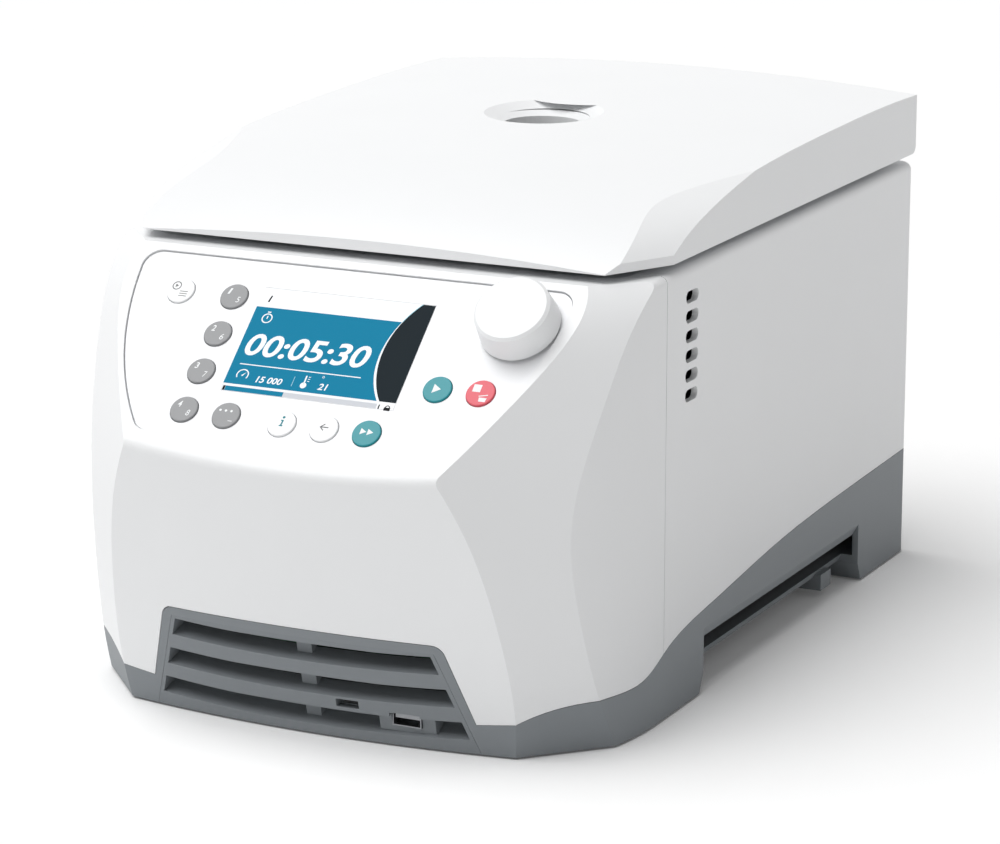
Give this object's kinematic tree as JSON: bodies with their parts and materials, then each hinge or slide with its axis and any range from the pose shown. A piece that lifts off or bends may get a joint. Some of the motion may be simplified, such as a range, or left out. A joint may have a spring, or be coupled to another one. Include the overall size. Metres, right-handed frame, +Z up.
{
  "type": "microcentrifuge",
  "caption": "Bench-top microcentrifuge with tilted control panel, hinged domed lid with viewing port, and fixed-angle rotor in a steel bowl.",
  "frame": {"origin": "on the bench, under the middle of the housing", "axes": "+X right, +Y to the back, +Z up; the rotor axis is vertical, behind the middle"},
  "size_m": [0.262, 0.4162, 0.2396],
  "materials": {
    "casing": "satin moulded light grey",
    "lid_white": "satin moulded white",
    "fascia_white": "satin printed membrane",
    "base_grey": "fine textured dark grey",
    "screen": "gloss display glass",
    "clear_window": "clear window",
    "button_grey": "satin",
    "button_white": "satin",
    "button_teal": "satin",
    "button_red": "satin",
    "knob_white": "satin",
    "rubber_black": "matt",
    "steel": "brushed",
    "dark_steel": "powder coated",
    "rotor_alu": "anodised",
    "black_plastic": "moulded",
    "board_green": "circuit board"
  },
  "bodies": {
    "housing": {"base_tray": "base_grey", "bowl": "steel", "bowl_seal": "rubber_black", "control_board": "board_green", "display_glass": "screen", "display_module": "black_plastic", "fan_frame": "black_plastic", "fascia": "fascia_white", "feet": "rubber_black", "frame_plate": "dark_steel", "frame_posts": "dark_steel", "front_casing": "casing", "guard_ring": "dark_steel", "hinge_ears": "steel", "hinge_pin": "steel", "intake_grille": "base_grey", "knob_encoder": "black_plastic", "lock_housings": "black_plastic", "motor": "dark_steel", "motor_dampers": "rubber_black", "power_board": "board_green", "power_inlet": "black_plastic", "rear_casing": "casing", "rear_grille": "base_grey", "service_socket": "black_plastic", "switch_frame": "black_plastic", "top_deck": "casing", "usb_socket": "steel"},
    "lid": {"lid_arms": "casing", "lid_hooks": "steel", "lid_inner": "casing", "lid_shell": "lid_white", "lid_window": "clear_window", "lid_window_ring": "button_grey"},
    "rotor_assembly": {"motor_shaft": "steel", "rotor": "rotor_alu", "rotor_lid": "rotor_alu"},
    "rotor_nut": {"rotor_nut": "rotor_alu"},
    "button_back": {"button_back": "button_white"},
    "button_fast": {"button_fast": "button_teal"},
    "button_info": {"button_info": "button_white"},
    "button_menu": {"button_menu": "button_white"},
    "button_more": {"button_more": "button_grey"},
    "button_program_1": {"button_program_1": "button_grey"},
    "button_program_2": {"button_program_2": "button_grey"},
    "button_program_3": {"button_program_3": "button_grey"},
    "button_program_4": {"button_program_4": "button_grey"},
    "button_start": {"button_start": "button_teal"},
    "button_stop": {"button_stop": "button_red"},
    "knob_shaft": {"knob_shaft": "steel"},
    "control_knob": {"control_knob": "knob_white"},
    "lock_bolt_right": {"lock_bolt_right": "steel"},
    "lock_bolt_left": {"lock_bolt_left": "steel"},
    "fan_rotor": {"fan_rotor": "black_plastic"},
    "power_switch": {"power_switch": "black_plastic"}
  },
  "joints": [
    {"name": "lid_hinge", "type": "hinge", "parent": "housing", "child": "lid", "pos_m": [0, 0.199, 0.21], "axis": [-1, 0, 0], "range_deg": [0, 70]},
    {"name": "rotor_spin", "type": "hinge", "parent": "housing", "child": "rotor_assembly", "pos_m": [0, 0.0546, 0.16], "axis": [0, 0, 1], "continuous": true},
    {"name": "rotor_nut_turn", "type": "hinge", "parent": "rotor_assembly", "child": "rotor_nut", "pos_m": [0, 0.0546, 0.16], "axis": [0, 0, 1], "continuous": true},
    {"name": "button_back_press", "type": "slide", "parent": "housing", "child": "button_back", "axis": [0, 0.6756, -0.7373], "range_m": [0, 0.0008], "stiffness_N_per_m": 400},
    {"name": "button_fast_press", "type": "slide", "parent": "housing", "child": "button_fast", "axis": [0, 0.6756, -0.7373], "range_m": [0, 0.0008], "stiffness_N_per_m": 400},
    {"name": "button_info_press", "type": "slide", "parent": "housing", "child": "button_info", "axis": [0, 0.6756, -0.7373], "range_m": [0, 0.0008], "stiffness_N_per_m": 400},
    {"name": "button_menu_press", "type": "slide", "parent": "housing", "child": "button_menu", "axis": [0, 0.6756, -0.7373], "range_m": [0, 0.0008], "stiffness_N_per_m": 400},
    {"name": "button_more_press", "type": "slide", "parent": "housing", "child": "button_more", "axis": [0, 0.6756, -0.7373], "range_m": [0, 0.0008], "stiffness_N_per_m": 400},
    {"name": "button_program_1_press", "type": "slide", "parent": "housing", "child": "button_program_1", "axis": [0, 0.6756, -0.7373], "range_m": [0, 0.0008], "stiffness_N_per_m": 400},
    {"name": "button_program_2_press", "type": "slide", "parent": "housing", "child": "button_program_2", "axis": [0, 0.6756, -0.7373], "range_m": [0, 0.0008], "stiffness_N_per_m": 400},
    {"name": "button_program_3_press", "type": "slide", "parent": "housing", "child": "button_program_3", "axis": [0, 0.6756, -0.7373], "range_m": [0, 0.0008], "stiffness_N_per_m": 400},
    {"name": "button_program_4_press", "type": "slide", "parent": "housing", "child": "button_program_4", "axis": [0, 0.6756, -0.7373], "range_m": [0, 0.0008], "stiffness_N_per_m": 400},
    {"name": "button_start_press", "type": "slide", "parent": "housing", "child": "button_start", "axis": [0, 0.6756, -0.7373], "range_m": [0, 0.0008], "stiffness_N_per_m": 400},
    {"name": "button_stop_press", "type": "slide", "parent": "housing", "child": "button_stop", "axis": [0, 0.6756, -0.7373], "range_m": [0, 0.0008], "stiffness_N_per_m": 400},
    {"name": "knob_push", "type": "slide", "parent": "housing", "child": "knob_shaft", "axis": [0, 0.6756, -0.7373], "range_m": [0, 0.001], "stiffness_N_per_m": 900},
    {"name": "knob_turn", "type": "hinge", "parent": "knob_shaft", "child": "control_knob", "pos_m": [0.0856, -0.14485, 0.18386], "axis": [0, -0.6756, 0.7373], "continuous": true},
    {"name": "lock_bolt_right_slide", "type": "slide", "parent": "housing", "child": "lock_bolt_right", "axis": [0, 1, 0], "range_m": [0, 0.008]},
    {"name": "lock_bolt_left_slide", "type": "slide", "parent": "housing", "child": "lock_bolt_left", "axis": [0, 1, 0], "range_m": [0, 0.008]},
    {"name": "fan_spin", "type": "hinge", "parent": "housing", "child": "fan_rotor", "pos_m": [-0.058, 0.1925, 0.118], "axis": [0, 1, 0], "continuous": true},
    {"name": "power_switch_rock", "type": "hinge", "parent": "housing", "child": "power_switch", "pos_m": [0.044, 0.2025, 0.092], "axis": [1, 0, 0], "range_deg": [0, 14]}
  ],
  "couplings": [
    {"joint": "lock_bolt_left_slide", "follows": "lock_bolt_right_slide", "ratio": 1}
  ]
}
